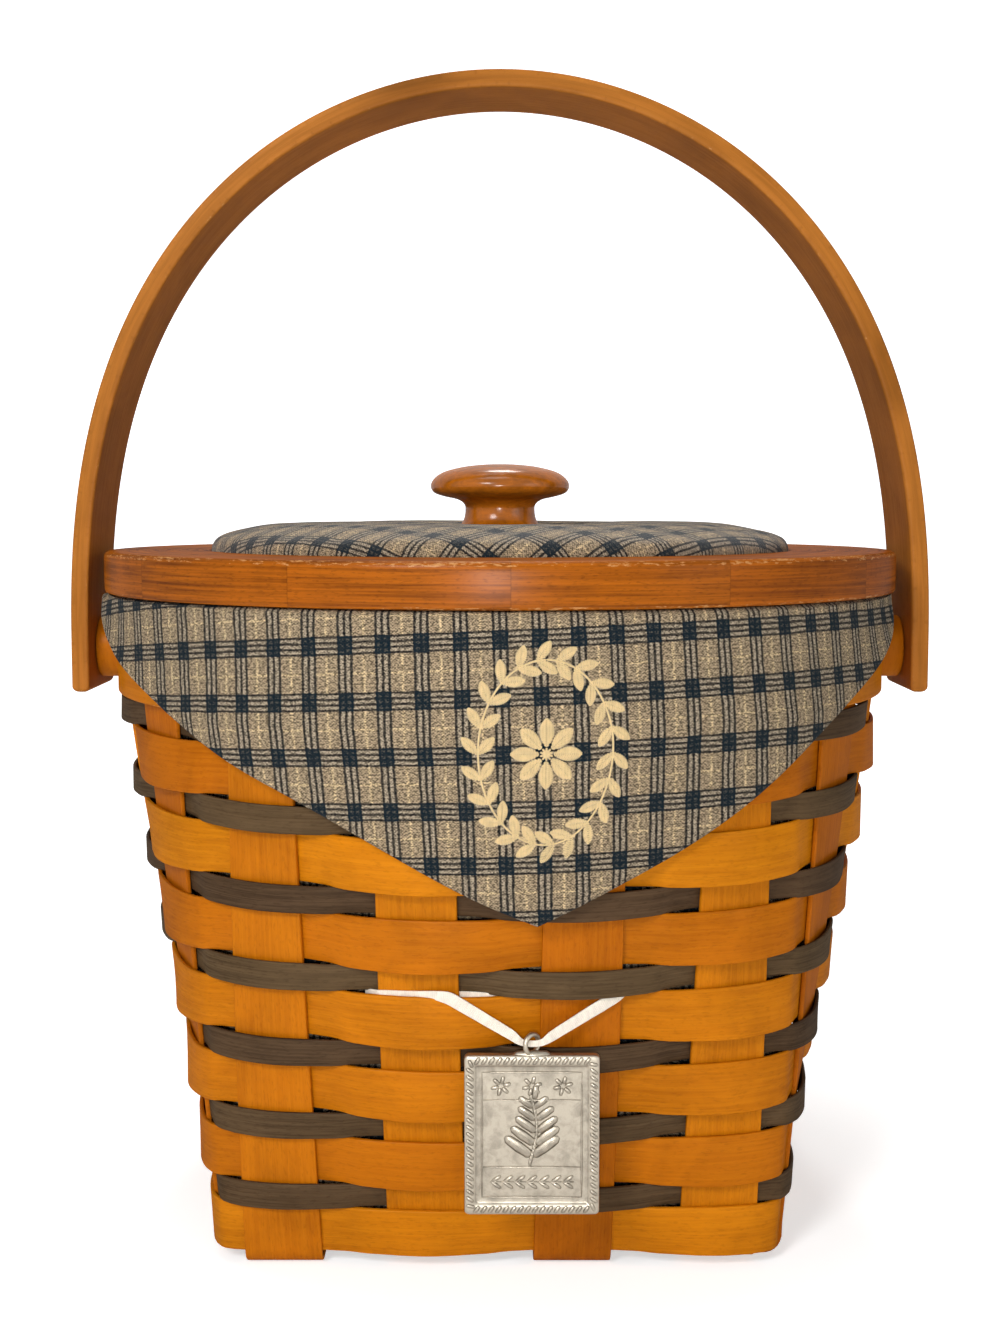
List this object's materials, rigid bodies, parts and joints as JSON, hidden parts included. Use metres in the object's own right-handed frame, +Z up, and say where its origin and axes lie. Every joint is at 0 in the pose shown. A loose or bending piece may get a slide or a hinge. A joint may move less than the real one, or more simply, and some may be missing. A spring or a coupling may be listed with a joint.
{
  "type": "splint basket",
  "caption": "Woven wood splint basket with square base and round mouth, swing handle, padded lid with turned knob, plaid cloth liner folded over the rim and a hanging metal tag.",
  "frame": {"origin": "middle of the base's underside, on the surface it stands on", "axes": "+Z up, +X to the right with the tag facing the viewer, front towards -Y"},
  "size_m": [0.2368, 0.2148, 0.3011],
  "materials": {
    "splint_wood": "honey stained ash splint, satin",
    "weaver_wood": "honey stained maple splint, satin",
    "weaver_dark_wood": "dark stained splint, dull",
    "band_wood": "honey stained maple, satin",
    "handle_wood": "bent wood strap, warm brown, satin",
    "lid_wood": "reddish brown stain, satin",
    "board_wood": "unfinished board",
    "liner_cloth": "woven cotton in a navy and tan check",
    "pad_cloth": "the same cloth, cut on the bias over wadding",
    "brass": "aged brass",
    "steel": "plain steel",
    "pewter": "cast grey metal, dull",
    "ribbon": "off-white satin ribbon"
  },
  "bodies": {
    "basket": {"splint_left_right_1": "splint_wood", "splint_left_right_2": "splint_wood", "splint_left_right_3": "splint_wood", "splint_left_right_4": "splint_wood", "splint_front_back_1": "splint_wood", "splint_front_back_2": "splint_wood", "splint_front_back_3": "splint_wood", "splint_front_back_4": "splint_wood", "weaver_wide_1": "weaver_wood", "weaver_wide_2": "weaver_wood", "weaver_wide_3": "weaver_wood", "weaver_wide_4": "weaver_wood", "weaver_wide_5": "weaver_wood", "weaver_wide_6": "weaver_wood", "weaver_wide_7": "weaver_wood", "weaver_dark_1": "weaver_dark_wood", "weaver_dark_2": "weaver_dark_wood", "weaver_dark_3": "weaver_dark_wood", "weaver_dark_4": "weaver_dark_wood", "weaver_dark_5": "weaver_dark_wood", "weaver_dark_6": "weaver_dark_wood", "weaver_dark_7": "weaver_dark_wood", "band_outer": "band_wood", "band_inner": "band_wood", "band_tack_1": "brass", "band_tack_2": "brass", "band_tack_3": "brass", "band_tack_4": "brass", "band_tack_5": "brass", "band_tack_6": "brass", "band_tack_7": "brass", "band_tack_8": "brass", "liner_bag": "liner_cloth", "flap_front": "liner_cloth", "flap_back": "liner_cloth", "bushing_left": "lid_wood", "rivet_washer_left": "steel", "rivet_left": "brass", "bushing_right": "lid_wood", "rivet_washer_right": "steel", "rivet_right": "brass", "tag_ribbon": "ribbon"},
    "handle": {"handle": "handle_wood"},
    "lid": {"lid_ring": "lid_wood", "lid_board": "board_wood", "lid_lip": "lid_wood", "lid_pad": "pad_cloth", "lid_knob": "lid_wood", "lid_screw": "steel"},
    "tag": {"tag": "pewter"}
  },
  "joints": [
    {"name": "handle_swing", "type": "hinge", "parent": "basket", "child": "handle", "pos_m": [0, 0, 0.1481], "axis": [1, 0, 0], "range_deg": [-110, 110]},
    {"name": "lid_lift", "type": "slide", "parent": "basket", "child": "lid", "axis": [0, 0, 1], "range_m": [0, 0.008]},
    {"name": "tag_swing", "type": "hinge", "parent": "basket", "child": "tag", "pos_m": [0.0074, -0.0922, 0.0628], "axis": [1, 0, 0], "range_deg": [-90, 14]}
  ]
}
